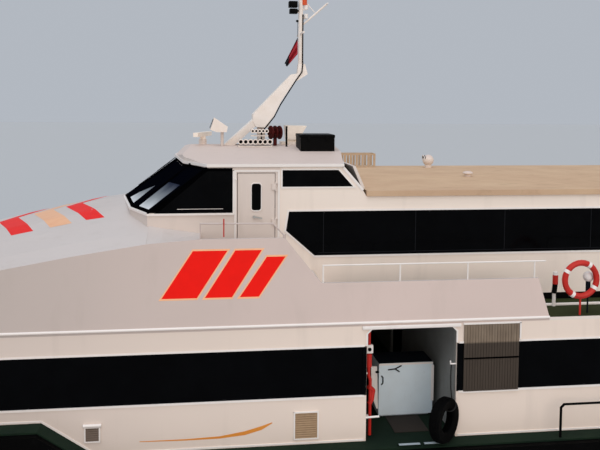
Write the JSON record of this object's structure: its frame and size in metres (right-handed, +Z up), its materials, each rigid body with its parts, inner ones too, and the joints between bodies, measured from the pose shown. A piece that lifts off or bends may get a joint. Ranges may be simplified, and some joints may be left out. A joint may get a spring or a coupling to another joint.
{
  "type": "passenger ferry",
  "caption": "Fast passenger ferry with two hulls, a dark band of windows on each deck, a raked wheelhouse and a slanted mast.",
  "frame": {"origin": "on the waterline, on the centreline, halfway along the boat", "axes": "+X aft, +Y to starboard, +Z up"},
  "size_m": [28.1265, 9.6256, 11.8725],
  "materials": {
    "hull_white": "warm white marine paint, semi gloss",
    "deck_green": "green deck paint, non-slip",
    "roof_tan": "tan non-slip roof paint, weathered",
    "dark_glass": "dark tinted",
    "black_rubber": "worn matt",
    "tyre_rubber": "worn matt",
    "grey_paint": "light blue-grey paint",
    "black_paint": "satin black paint",
    "stainless": "brushed",
    "bronze": "cast bronze, machined",
    "mast_cream": "cream paint, weathered",
    "slat_wood": "weathered slats",
    "red_plastic": "red with white bands",
    "flag_cloth": "woven flag cloth"
  },
  "bodies": {
    "ferry": {"hull_port": "hull_white", "main_side_port": "hull_white", "shoulder_port": "hull_white", "upper_side_port": "hull_white", "walkway_rail_port": "hull_white", "main_glass_fwd_port": "dark_glass", "main_glass_aft_port": "dark_glass", "upper_glass_port": "dark_glass", "wheelhouse_glass_port": "dark_glass", "side_rail_port": "black_paint", "lifebuoy_port": "red_plastic", "hull_starboard": "hull_white", "main_side_starboard": "hull_white", "shoulder_starboard": "hull_white", "upper_side_starboard": "hull_white", "walkway_rail_starboard": "hull_white", "main_glass_fwd_starboard": "dark_glass", "main_glass_aft_starboard": "dark_glass", "upper_glass_starboard": "dark_glass", "wheelhouse_glass_starboard": "dark_glass", "side_rail_starboard": "black_paint", "lifebuoy_starboard": "red_plastic", "bridge_deck": "hull_white", "fore_wall": "hull_white", "main_aft_bulkhead": "hull_white", "nose_shell": "hull_white", "upper_aft_bulkhead": "hull_white", "wheelhouse_walls": "hull_white", "wheelhouse_roof": "hull_white", "roof_box": "hull_white", "cowl_vent": "hull_white", "main_deck": "deck_green", "upper_deck": "deck_green", "cabin_roof": "roof_tan", "windscreen_glass": "dark_glass", "rubbing_strake": "black_rubber", "mast_cable": "black_rubber", "tyre_fender": "tyre_rubber", "entrance_lobby": "grey_paint", "entrance_locker": "grey_paint", "aft_stairs": "grey_paint", "roof_locker": "black_paint", "aft_rail": "stainless", "mast": "mast_cream", "searchlight": "mast_cream", "roof_crate": "slat_wood", "louvre_port": "slat_wood", "flag": "flag_cloth"},
    "propeller_port": {"propeller_port": "bronze"},
    "propeller_starboard": {"propeller_starboard": "bronze"},
    "rudder_port": {"rudder_port": "hull_white"},
    "rudder_starboard": {"rudder_starboard": "hull_white"},
    "wheelhouse_door_port": {"wheelhouse_door_port": "hull_white"},
    "wheelhouse_door_starboard": {"wheelhouse_door_starboard": "hull_white"},
    "entrance_door_port": {"entrance_door_port": "hull_white"},
    "entrance_door_starboard": {"entrance_door_starboard": "hull_white"},
    "main_aft_door": {"main_aft_door": "hull_white"},
    "upper_aft_door": {"upper_aft_door": "hull_white"},
    "radar_scanner": {"radar_scanner": "hull_white"}
  },
  "joints": [
    {"name": "propeller_port_turn", "type": "hinge", "parent": "ferry", "child": "propeller_port", "pos_m": [12.6, -3.3, -1.15], "axis": [1, 0, 0], "continuous": true},
    {"name": "propeller_starboard_turn", "type": "hinge", "parent": "ferry", "child": "propeller_starboard", "pos_m": [12.6, 3.3, -1.15], "axis": [1, 0, 0], "continuous": true},
    {"name": "rudder_port_turn", "type": "hinge", "parent": "ferry", "child": "rudder_port", "pos_m": [13.35, -3.3, -1], "axis": [0, 0, 1], "range_deg": [-35, 35]},
    {"name": "rudder_starboard_turn", "type": "hinge", "parent": "ferry", "child": "rudder_starboard", "pos_m": [13.35, 3.3, -1], "axis": [0, 0, 1], "range_deg": [-35, 35]},
    {"name": "wheelhouse_door_port_swing", "type": "hinge", "parent": "ferry", "child": "wheelhouse_door_port", "pos_m": [-3.49, -2.972, 5.7], "axis": [0, 0, 1], "range_deg": [0, 95]},
    {"name": "wheelhouse_door_starboard_swing", "type": "hinge", "parent": "ferry", "child": "wheelhouse_door_starboard", "pos_m": [-3.49, 2.972, 5.7], "axis": [0, 0, -1], "range_deg": [0, 95]},
    {"name": "entrance_door_port_slide", "type": "slide", "parent": "ferry", "child": "entrance_door_port", "axis": [-1, 0, 0], "range_m": [0, 1.74]},
    {"name": "entrance_door_starboard_slide", "type": "slide", "parent": "ferry", "child": "entrance_door_starboard", "axis": [1, 0, 0], "range_m": [0, 1.74]},
    {"name": "main_aft_door_swing", "type": "hinge", "parent": "ferry", "child": "main_aft_door", "pos_m": [9.622, -0.43, 2.8], "axis": [0, 0, -1], "range_deg": [0, 100]},
    {"name": "upper_aft_door_swing", "type": "hinge", "parent": "ferry", "child": "upper_aft_door", "pos_m": [8.222, -0.4, 5], "axis": [0, 0, -1], "range_deg": [0, 100]},
    {"name": "radar_scanner_turn", "type": "hinge", "parent": "ferry", "child": "radar_scanner", "pos_m": [-4.86, 0, 7.2], "axis": [0, 0, 1], "continuous": true}
  ],
  "couplings": [
    {"joint": "rudder_starboard_turn", "follows": "rudder_port_turn", "ratio": 1}
  ]
}
